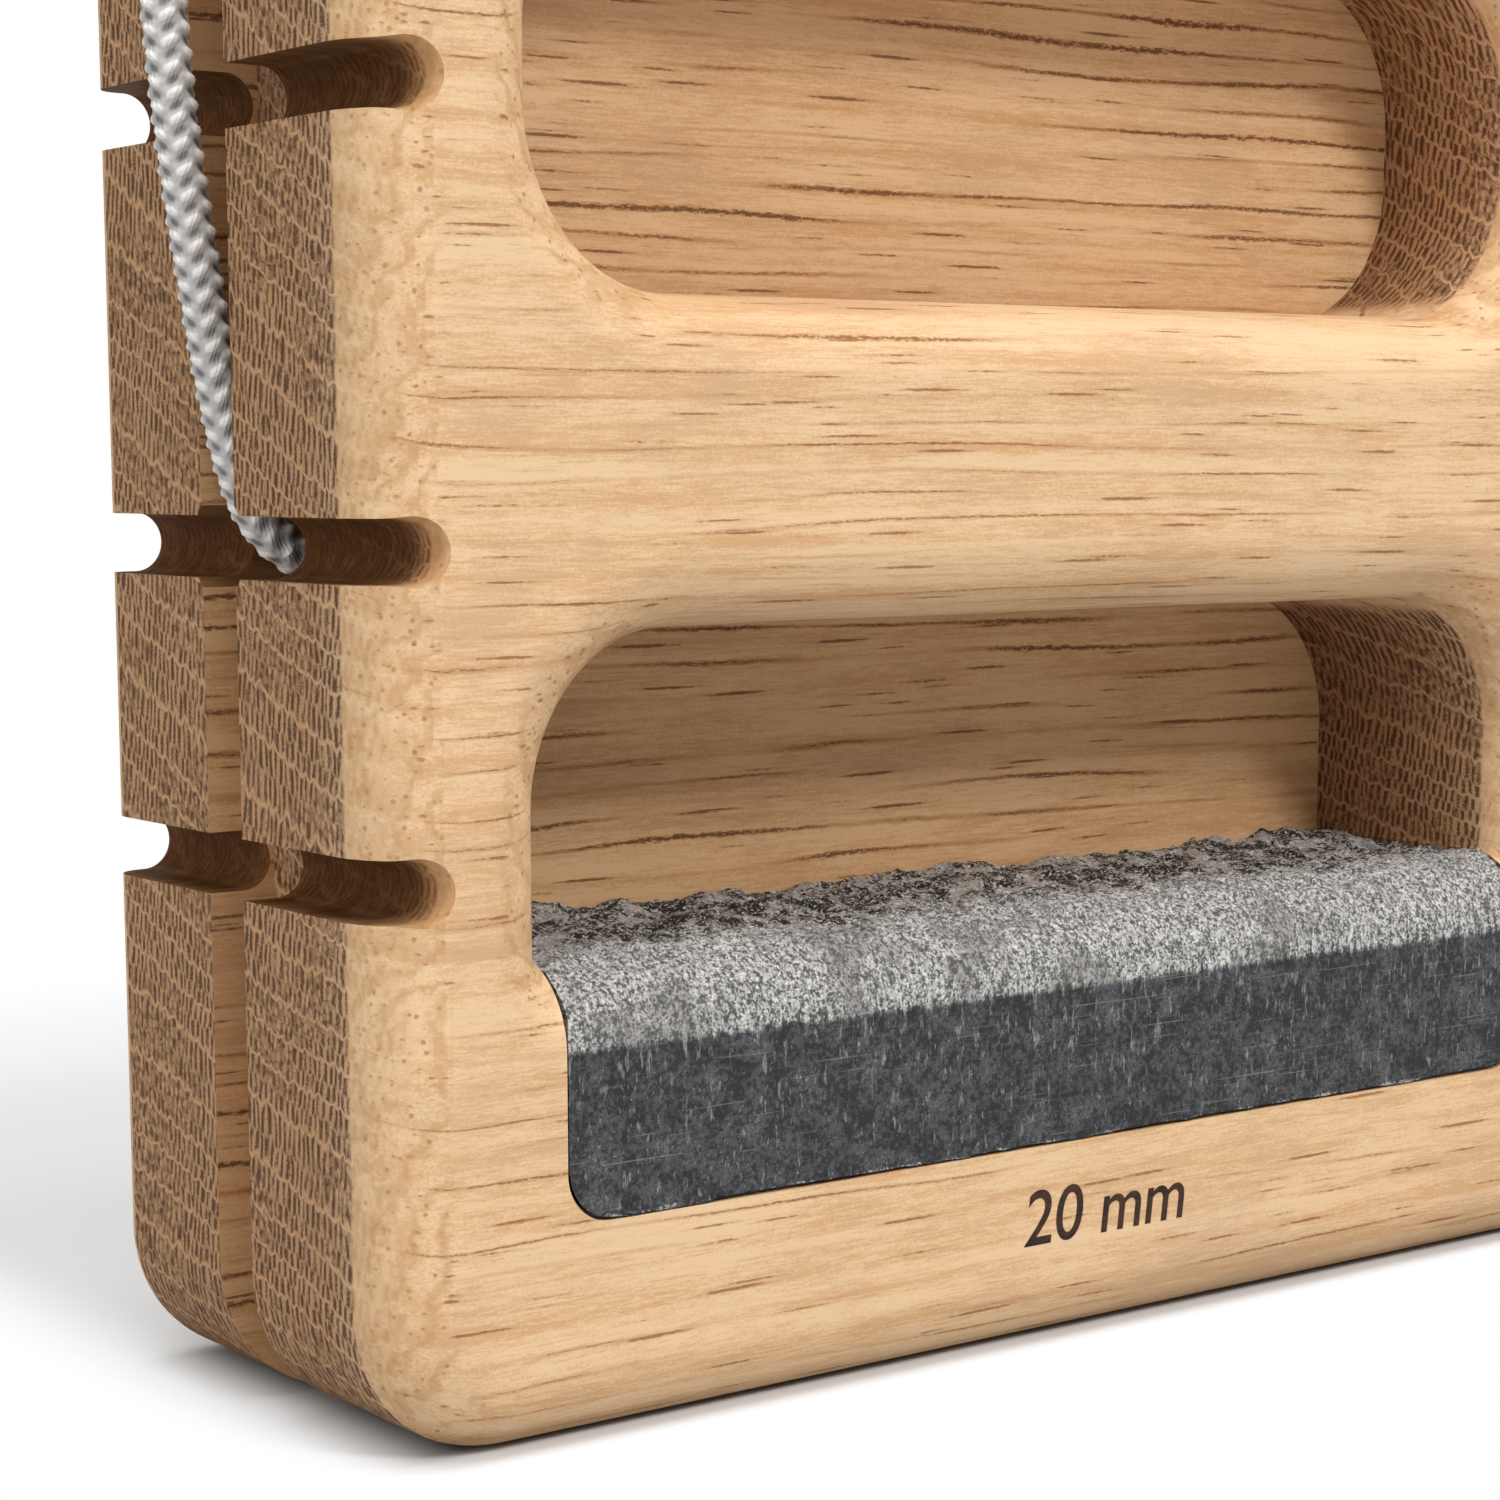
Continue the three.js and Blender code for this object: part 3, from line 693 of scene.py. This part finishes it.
def oak_block():
    s, t = chosen("block"), chosen("stone")
    half, front = s.width / 2, -s.thickness / 2
    pocket = s.pocket_width / 2
    body = block_with_openings()
    seat = prism(-pocket, pocket, s.bottom_bar, s.bottom_bar + t.bond + t.height + SEAT_RISE,
                 front - OVERRUN, front + s.lower_depth, t.corner, 0.0)
    body = cut(body, seat)
    oak, tooled_and_shaded = oak_finish(), oak_finish(True)
    groove_front = front + s.groove_from_front
    groove_back = groove_front + s.groove_width
    outer, inner = s.corner + OVERRUN, s.corner - s.groove_depth
    ring = prism(-half - OVERRUN, half + OVERRUN, -OVERRUN, s.height + OVERRUN,
                 groove_front, groove_back, outer, outer)
    core = prism(-half + s.groove_depth, half - s.groove_depth,
                 s.groove_depth, s.height - s.groove_depth,
                 groove_front - OVERRUN, groove_back + OVERRUN, inner, inner)
    ring = cut(ring, core)
    body = cut(body, ring, (oak, oak))
    for z in (s.height / 2 - s.notch_span / 2, s.bore_height, s.height / 2 + s.notch_span / 2):
        for side in (-1, 1):
            slot = notch_cutter()
            turn = Matrix.Rotation(math.radians(90 * side), 4, "Y")
            bmesh.ops.transform(slot, matrix=turn, verts=slot.verts)
            bmesh.ops.translate(slot, vec=(side * (half - s.notch_depth), 0.0, z), verts=slot.verts)
            body = cut(body, slot, (oak, tooled_and_shaded))
    bore = bmesh.new()
    bmesh.ops.create_cone(bore, cap_ends=True, segments=BORE_SIDES, radius1=s.bore / 2,
                          radius2=s.bore / 2, depth=s.width + 2 * OVERRUN)
    bmesh.ops.transform(bore, matrix=Matrix.Rotation(math.pi / 2, 4, "Y"), verts=bore.verts)
    bmesh.ops.translate(bore, vec=(0.0, groove_front + s.groove_width / 2, s.bore_height),
                        verts=bore.verts)
    body = cut(body, bore, (oak, tooled_and_shaded))
    block = finished("oak_block_routed", body, [oak, tooled_and_shaded])
    block.modifiers.new("even_normals", "WEIGHTED_NORMAL").keep_sharp = True
    return block


STONE_ROWS = 300  # grid rows round the bar's section, and columns along it
WAVE_LENGTH, WAVE_BREADTH, WAVE_GRAIN = 31, 17, 7.3  # millimetres between the split's waves
OVERLAP = 0.2  # how far the front skin spreads over the glue line, in millimetres
OVERLAP_DEPTH = 0.35  # how deep that spread goes
DEEPEST = 1.1  # the split never rises further than this
CHIP_HEIGHT, CHIP_DEPTH = 0.9, 0.22  # chips along the bar's lower front edge


def split_height(x, depth):
    """Waves of the split top, in millimetres."""
    s = chosen("stone")
    turn = 2 * math.pi
    wave = (math.sin(turn * x / WAVE_LENGTH + turn * depth / WAVE_BREADTH)
            + math.cos(turn * depth / WAVE_BREADTH - x / WAVE_LENGTH)
            + math.sin(turn * x / WAVE_GRAIN) * math.cos(turn * depth / WAVE_GRAIN)) / 3
    return s.relief / MM * wave


def split_relief(x, depth, lip):
    """Rise of the split and crushed skin, easing to nothing at the sawn front."""
    ease = clamped((depth - 0.4) / 2.4)
    spot = Vector((x, depth, 0.0))
    rough = split_height(x, depth) * clamped((depth - lip) / lip)
    rough += ease * 0.42 * noise.fractal(spot * 0.55, 0.9, 2.1, 5)
    rough += ease * 0.1 * (noise.ridged_multi_fractal(spot * 0.9, 1.0, 2.0, 4, 1.0, 2.0) - 1.0)
    rough += 0.55 * noise.noise(spot * 0.19) * clamped((depth - lip) / 4)
    return min(rough, DEEPEST)


def stone_edge():
    """A closed skin wrapped round the bar's section, then split and crushed point by point."""
    s, t = chosen("block"), chosen("stone")
    half = (s.pocket_width / 2 - t.bond) / MM
    deep = (s.lower_depth - t.bond) / MM
    high, lip, corner = t.height / MM, s.lip / MM, t.corner / MM
    runs = [("front", high - lip), ("lip", lip * math.pi / 2), ("top", deep - lip),
            ("back", high), ("under", deep)]
    total = sum(size for _, size in runs)
    bm = bmesh.new()
    bmesh.ops.create_grid(bm, x_segments=STONE_ROWS, y_segments=STONE_ROWS, size=1.0)
    for v in bm.verts:
        place = (v.co.y + 1) / 2 * total
        across = v.co.x
        for name, size in runs:
            if place <= size + 1e-6:
                break
            place -= size
        depth, z = {
            "front": lambda p: (0.0, p),
            "lip": lambda p: (lip * (1 - math.cos(p / lip)), high - lip + lip * math.sin(p / lip)),
            "top": lambda p: (lip + p, high),
            "back": lambda p: (deep, high - p),
            "under": lambda p: (deep - p, 0.0),
        }[name](place)
        spread = OVERLAP * clamped(1 - depth / OVERLAP_DEPTH)
        open_gap = clamped(0.6 + 1.6 * noise.fractal(
            Vector((across * half * 0.12, 7.0, 0.0)), 0.8, 2.1, 5))
        reach = half + spread
        if z < corner:
            reach -= corner - math.sqrt(max(corner ** 2 - (corner - z) ** 2, 0.0))
        z -= spread * (1 - open_gap) * max(1 - z / (high - lip), 0.0)
        x = across * reach
        outward = Vector((0.0, 0.0, 1.0))
        if name == "lip":
            angle = place / lip
            outward = Vector((0.0, -math.cos(angle), math.sin(angle)))
        spot = Vector((x, depth, z))
        if name in ("lip", "top"):
            spot += outward * split_relief(x, depth, lip)
        if name == "front" and z < CHIP_HEIGHT:
            chip = max(noise.fractal(Vector((x * 0.8, 3.0, 0.0)), 1.0, 2.0, 3), 0.0)
            spot.y += CHIP_DEPTH * chip * (1 - z / CHIP_HEIGHT)
        v.co = Vector((spot.x * MM, spot.y * MM - s.thickness / 2,
                       spot.z * MM + s.bottom_bar + t.bond))
    closed(bm, 1e-6)
    return finished("stone_edge_split", bm, [stone_finish()], 50.0)


FIGURES_SIZE = 5.1 * MM
FIGURES_SLANT = 0.12
FIGURES_PLACE = (0.7 * MM, 6.95 * MM)  # middle of the figures and their foot on the front
FIGURES_BOLDER = 0.03 * MM
FIGURES_SINK, FIGURES_DEPTH = 0.004 * MM, 0.02 * MM


def figures_mark():
    """The plain depth figure, burnt into the wood below the stone."""
    s = chosen("block")
    text = bpy.data.curves.new("mark", "FONT")
    text.body = "20 mm"
    text.size = FIGURES_SIZE
    text.align_x = "CENTER"
    text.shear = FIGURES_SLANT
    text.extrude = FIGURES_DEPTH
    text.offset = FIGURES_BOLDER
    text.resolution_u = 6
    source = placed("mark", text)
    bm = evaluated(source)
    bpy.data.objects.remove(source)
    bmesh.ops.rotate(bm, matrix=Matrix.Rotation(math.pi / 2, 3, "X"), verts=bm.verts)
    x, z = FIGURES_PLACE
    bmesh.ops.translate(bm, vec=(x, -s.thickness / 2 + FIGURES_SINK, z), verts=bm.verts)
    return finished("depth_figures", bm, [burnt_finish()], 40.0)


# Cord, whose routes are in millimetres

OVER_THE_TOP = [
    (-40.0, 1.5, 50.5), (-45.0, 1.5, 50.5), (-47.2, 1.5, 50.9), (-49.1, 1.5, 52.0),
    (-50.55, 1.5, 53.6), (-51.6, 1.5, 56.0), (-52.6, 1.5, 60.0), (-53.5, 1.5, 65.0),
    (-54.3, 1.5, 70.0), (-55.05, 1.5, 75.5), (-55.55, 1.5, 81.0), (-55.9, 1.7, 87.0),
    (-56.0, 2.2, 93.0), (-55.7, 3.0, 98.5), (-54.9, 4.2, 103.2), (-52.9, 5.9, 107.7),
    (-49.9, 8.0, 110.8), (-46.4, 10.5, 112.2), (-42.9, 13.6, 112.6), (-40.0, 16.9, 111.6),
    (-37.9, 19.5, 109.0), (-36.6, 20.9, 105.0), (-35.8, 21.2, 100.0), (-35.0, 20.6, 92.0),
    (-34.3, 19.4, 80.0), (-33.8, 18.7, 66.0), (-33.5, 18.6, 52.0), (-33.3, 18.6, 38.0),
    (-33.1, 18.7, 26.0),
]
LEFT_FOOT = [
    (-32.9, 18.9, 17.0), (-32.2, 19.6, 9.6), (-29.9, 20.7, 6.5), (-26.5, 21.8, 4.7),
    (-22.5, 22.4, 4.3), (-17.3, 22.5, 4.3),
]
FEET_APART = 2.7  # the right foot runs lower than the left
RIGHT_FOOT = [(-x, y, round(z - FEET_APART, 1)) for x, y, z in LEFT_FOOT]
KNOT = {"x": -9.5, "length": 15.0, "radius": 4.2, "gap": 0.3, "margin": 1.8, "stub": 0.2}
COIL_X = 14.0  # middle of the coil
TANGENT_Y = 22.5  # where the cord runs into its knot and its coil
REST = 0.1  # gap to the surface below
LOOPS = 4
LOOP_POINTS = 24  # route points for each loop and for each wrap of the knot
TAIL = [(0.0, 0.0), (0.2, 0.0), (0.38, 0.5), (0.55, 1.0), (0.78, 1.0)]  # way to the coil, rise
BORE_PLACE = (1.5, 50.5)  # where the cord lies in the bore
BORE_REACH = 39.5
LINE_POINTS = 24  # points of the curve between two points of a route
KNOT_HEIGHT = KNOT["radius"] + REST
WRAPS = 4
WRAP_DIAMETER = 2.9 * MM
FINE_STEP, COIL_STEP, HIDDEN_STEP = 0.2, 0.36, 0.5  # between the rings of a tube
FINE_SIDES, COIL_SIDES, WRAP_SIDES, HIDDEN_SIDES = 48, 32, 28, 24
SWAY = 0.12  # share of a stitch by which columns of knobs lean


def coil_route():
    """From the knot into the coil's upper layer, down to the lower one and out."""
    cord = chosen("cord")
    diameter, outer = cord.diameter / MM, cord.coil_radius / MM
    pitch = diameter + cord.loop_gap / MM
    floor = diameter / 2 + REST
    upper = floor + pitch
    start = KNOT["x"] + KNOT["length"] / 2 + KNOT["gap"]
    points = [(start + (COIL_X - start) * a, TANGENT_Y, KNOT_HEIGHT + (upper - KNOT_HEIGHT) * b)
              for a, b in TAIL]
    for i in range(LOOPS * LOOP_POINTS + 1):
        turn = i / LOOP_POINTS
        radius = outer - pitch * (LOOPS / 2 - abs(turn - LOOPS / 2))
        angle = 2 * math.pi * turn - math.pi / 2
        fall = clamped((turn - LOOPS / 2) * 2 + 0.5)
        points.append((COIL_X + radius * math.cos(angle),
                       TANGENT_Y + outer + radius * math.sin(angle), upper - pitch * fall))
    return points


def distances(line):
    """Length along the line up to each of its points."""
    along = [0.0]
    for a, b in zip(line, line[1:]):
        along.append(along[-1] + (b - a).length)
    return along


def smooth_line(points, step):
    """Evenly spaced points, in metres, on a smooth curve through points in millimetres."""
    knots = [Vector(p) for p in points]
    knots = [knots[0] * 2 - knots[1], *knots, knots[-1] * 2 - knots[-2]]
    fine = []
    for a, b, c, d in zip(knots, knots[1:], knots[2:], knots[3:]):
        t0 = 0.0
        t1 = t0 + math.sqrt((b - a).length)
        t2 = t1 + math.sqrt((c - b).length)
        t3 = t2 + math.sqrt((d - c).length)
        for i in range(LINE_POINTS):
            t = t1 + (t2 - t1) * i / LINE_POINTS
            ab = a.lerp(b, (t - t0) / (t1 - t0))
            bc = b.lerp(c, (t - t1) / (t2 - t1))
            cd = c.lerp(d, (t - t2) / (t3 - t2))
            abc = ab.lerp(bc, (t - t0) / (t2 - t0))
            bcd = bc.lerp(cd, (t - t1) / (t3 - t1))
            fine.append(abc.lerp(bcd, (t - t1) / (t2 - t1)))
    fine.append(knots[-2])
    along = distances(fine)
    count = max(int(along[-1] / step), 2)
    line, j = [], 0
    for i in range(count + 1):
        want = along[-1] * i / count
        while j + 2 < len(along) and along[j + 1] < want:
            j += 1
        span = max(along[j + 1] - along[j], 1e-9)
        line.append(fine[j].lerp(fine[j + 1], min((want - along[j]) / span, 1.0)) * MM)
    return line


def parted_at_bore(line):
    """The stretch inside the bore and the stretch outside, which share the mouth's point."""
    s = chosen("block")
    mouth = s.width / 2 - s.groove_depth
    i = next(i for i, p in enumerate(line) if abs(p.x) > mouth)
    return line[:i + 1], line[i:]


def braided_tube(name, line, diameter, sides, material):
    """A grid wrapped round the line, raised at each stitch of the braid."""
    cord = chosen("cord")
    rows = len(line)
    bm = bmesh.new()
    layer = bm.loops.layers.uv.new("UVMap")
    bmesh.ops.create_grid(bm, x_segments=sides, y_segments=rows - 1, size=1.0)
    tangents = [(line[min(i + 1, rows - 1)] - line[max(i - 1, 0)]).normalized()
                for i in range(rows)]
    normal = tangents[0].orthogonal().normalized()
    frames = []
    for i in range(rows):
        normal = (normal - tangents[i] * normal.dot(tangents[i])).normalized()
        frames.append((normal.copy(), tangents[i].cross(normal)))
    lengths = distances(line)
    for face in bm.faces:
        for loop in face.loops:
            row = round((loop.vert.co.y + 1) / 2 * (rows - 1))
            loop[layer].uv = ((loop.vert.co.x + 1) / 2, lengths[row] / MM)
    for v in bm.verts:
        row = round((v.co.y + 1) / 2 * (rows - 1))
        share = (v.co.x + 1) / 2
        column = share * cord.plaits
        along = lengths[row] / cord.stitch + SWAY * math.cos(column * math.pi)
        knob = 0.5 + 0.5 * math.cos(along * 2 * math.pi) * math.sin(column * math.pi)
        radius = diameter / 2 - cord.relief * (1 - 0.4 * knob - 0.6 * knob ** 3)
        a, b = frames[row]
        angle = 2 * math.pi * share
        v.co = line[row] + (a * math.cos(angle) + b * math.sin(angle)) * radius
    closed(bm, 2e-6)
    return finished(name, bm, [material], 75.0)


def knot_route():
    """The wraps that make the knot's barrel, as one helix round the cord."""
    first = KNOT["x"] - KNOT["length"] / 2 + KNOT["margin"]
    span = KNOT["length"] - 2 * KNOT["margin"]
    barrel = KNOT["radius"] - WRAP_DIAMETER / MM / 2
    points = []
    for i in range(WRAPS * LOOP_POINTS + 1):
        angle = 2 * math.pi * i / LOOP_POINTS
        points.append((first + span * i / (WRAPS * LOOP_POINTS),
                       TANGENT_Y + barrel * math.cos(angle),
                       KNOT_HEIGHT + barrel * math.sin(angle)))
    return points


# Operators

class HANGBOARD_OT_camera(Operator):
    """Set the camera at the product view's angle"""
    bl_idname = "hangboard.camera"
    bl_label = "Camera"

    def execute(self, context):
        settings = chosen("stage")
        data = bpy.data.cameras.new("camera")
        camera = placed("camera", data)
        data.sensor_width = 36.0
        data.lens = settings.lens
        data.shift_x, data.shift_y = CAMERA_SHIFT
        data.clip_start = 0.01
        data.clip_end = 20.0
        yaw, pitch, roll = (math.radians(a) for a in (CAMERA_YAW, CAMERA_PITCH, CAMERA_ROLL))
        camera.rotation_mode = "QUATERNION"
        forward = Vector((-math.sin(yaw) * math.cos(pitch), math.cos(yaw) * math.cos(pitch),
                          -math.sin(pitch)))
        look = forward.to_track_quat("-Z", "Y")
        camera.rotation_quaternion = look @ Matrix.Rotation(roll, 3, "Z").to_quaternion()
        camera.location = CAMERA_PLACE
        context.scene.camera = camera
        return {"FINISHED"}


class HANGBOARD_OT_cords(Operator):
    """Lay the braided cord: two legs out of the bore, the coil and the joining knot"""
    bl_idname = "hangboard.cords"
    bl_label = "Cords"

    def execute(self, context):
        cord = chosen("cord")
        material = braid_finish()
        left_line = smooth_line(OVER_THE_TOP + LEFT_FOOT, FINE_STEP)
        mirrored = [(-x, y, z) for x, y, z in OVER_THE_TOP]
        right_line = smooth_line(mirrored + RIGHT_FOOT[:-1] + coil_route()[::-1], COIL_STEP)
        left_in, left_line = parted_at_bore(left_line)
        right_in, right_line = parted_at_bore(right_line)
        run = smooth_line([(x, *BORE_PLACE) for x in (-BORE_REACH, 0.0, BORE_REACH)], HIDDEN_STEP)
        half = KNOT["length"] / 2 + KNOT["stub"]
        through = smooth_line([(KNOT["x"] + x, TANGENT_Y, KNOT_HEIGHT) for x in (-half, 0.0, half)],
                              HIDDEN_STEP)
        helix = smooth_line(knot_route(), COIL_STEP)
        left, right, wraps, core, inner = [
            braided_tube(name, line, diameter, sides, material)
            for name, line, diameter, sides in (
                ("cord_left", left_line, cord.diameter, FINE_SIDES),
                ("cord_right", right_line, cord.diameter, COIL_SIDES),
                ("cord_knot_wraps", helix, WRAP_DIAMETER, WRAP_SIDES),
                ("cord_knot_core", through, cord.diameter, HIDDEN_SIDES),
                ("cord_in_bore", left_in[::-1] + run + right_in, cord.diameter, HIDDEN_SIDES))]
        for piece in (left, right, wraps, core, inner):
            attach(piece, "root")
        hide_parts("cord_left_leg")
        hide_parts("cord_right_leg", "cord_coil")
        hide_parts("cord_knot")
        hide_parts("cord_bore_run")
        distances(left_line)[-1]
        left_line[::8] + [left_line[-1]]
        distances(right_line)[-1]
        right_line[::5] + [right_line[-1]]
        return {"FINISHED"}


class HANGBOARD_OT_block(Operator):
    """Rout the oak block with its pockets, groove, notches and bore"""
    bl_idname = "hangboard.block"
    bl_label = "Oak block"

    def execute(self, context):
        block = oak_block()
        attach(block, "root")
        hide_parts("oak_block")
        return {"FINISHED"}


class HANGBOARD_OT_stone(Operator):
    """Saw and split the stone edge and dress its bed of adhesive"""
    bl_idname = "hangboard.stone"
    bl_label = "Stone edge"

    def execute(self, context):
        stone = stone_edge()
        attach(stone, "root")
        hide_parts("stone_edge")
        bed = bpy.data.objects["adhesive_bed"]
        bed.data.materials.clear()
        bed.data.materials.append(adhesive_finish())
        return {"FINISHED"}


class HANGBOARD_OT_mark(Operator):
    """Burn the plain depth figure into the front"""
    bl_idname = "hangboard.mark"
    bl_label = "Depth figure"

    def execute(self, context):
        mark = figures_mark()
        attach(mark, "root")
        return {"FINISHED"}


class HANGBOARD_OT_stage(Operator):
    """Set the pale floor, the even surrounding light and the lamps"""
    bl_idname = "hangboard.stage"
    bl_label = "Stage"

    def execute(self, context):
        settings = chosen("stage")
        bm = bmesh.new()
        bmesh.ops.create_grid(bm, x_segments=8, y_segments=8, size=FLOOR_HALF)
        bmesh.ops.translate(bm, vec=(0.0, 0.0, -FLOOR_DROP), verts=bm.verts)
        floor = finished("floor", bm, [floor_finish()])

        world = bpy.data.worlds.new("studio")
        context.scene.world = world
        world.use_nodes = True
        nodes, links = world.node_tree.nodes, world.node_tree.links
        sky = nodes["Background"]
        sky.inputs["Color"].default_value = (*SKY_TINT, 1.0)
        sky.inputs["Strength"].default_value = settings.fill
        white = nodes.new("ShaderNodeBackground")
        white.inputs["Color"].default_value = (*WHITE, 1.0)
        path = nodes.new("ShaderNodeLightPath")
        mixer = nodes.new("ShaderNodeMixShader")
        links.new(path.outputs["Is Camera Ray"], mixer.inputs[0])
        links.new(sky.outputs[0], mixer.inputs[1])
        links.new(white.outputs[0], mixer.inputs[2])
        links.new(mixer.outputs[0], nodes["World Output"].inputs["Surface"])

        for name, spot, size, power in (
                ("key", (0.1, -0.87, 0.73), 0.2, settings.key),
                ("top", (-0.05, -0.15, 1.05), 0.7, settings.top),
                ("side", (-0.9, -0.25, 0.4), 0.5, settings.key * SIDE_SHARE)):
            data = bpy.data.lights.new(name, "AREA")
            data.size = size
            data.energy = power
            lamp = placed(name, data)
            lamp.location = spot
            aim = Vector(AIM) - Vector(spot)
            lamp.rotation_mode = "QUATERNION"
            lamp.rotation_quaternion = aim.to_track_quat("-Z", "Y")
        context.scene.view_settings.view_transform = "Standard"
        return {"FINISHED"}


STEPS = (HANGBOARD_OT_camera, HANGBOARD_OT_cords, HANGBOARD_OT_block, HANGBOARD_OT_stone,
         HANGBOARD_OT_mark, HANGBOARD_OT_stage)
GROUPS = {"block": BlockSizes, "stone": StoneSizes, "cord": CordSizes,
          "finishes": Finishes, "stage": StageSettings}


class HANGBOARD_PT_steps(Panel):
    """Steps that build the board"""
    bl_idname = "HANGBOARD_PT_steps"
    bl_label = "Hangboard"
    bl_space_type = "VIEW_3D"
    bl_region_type = "UI"
    bl_category = "Hangboard"

    def draw(self, context):
        for step in STEPS:
            self.layout.operator(step.bl_idname)
        for name, group in GROUPS.items():
            box = self.layout.box()
            for key in group.__annotations__:
                box.prop(chosen(name), key)


def register():
    for group in GROUPS.values():
        bpy.utils.register_class(group)
    for name, group in GROUPS.items():
        setattr(bpy.types.Scene, PREFIX + name, PointerProperty(type=group))
    for step in STEPS:
        bpy.utils.register_class(step)
    bpy.utils.register_class(HANGBOARD_PT_steps)


def unregister():
    bpy.utils.unregister_class(HANGBOARD_PT_steps)
    for step in reversed(STEPS):
        bpy.utils.unregister_class(step)
    for name, group in reversed(GROUPS.items()):
        delattr(bpy.types.Scene, PREFIX + name)
        bpy.utils.unregister_class(group)


def main():
    register()
    bpy.ops.hangboard.camera()
    bpy.ops.hangboard.cords()
    bpy.ops.hangboard.block()
    bpy.ops.hangboard.stone()
    bpy.ops.hangboard.mark()
    bpy.ops.hangboard.stage()


if __name__ == "__main__":
    main()
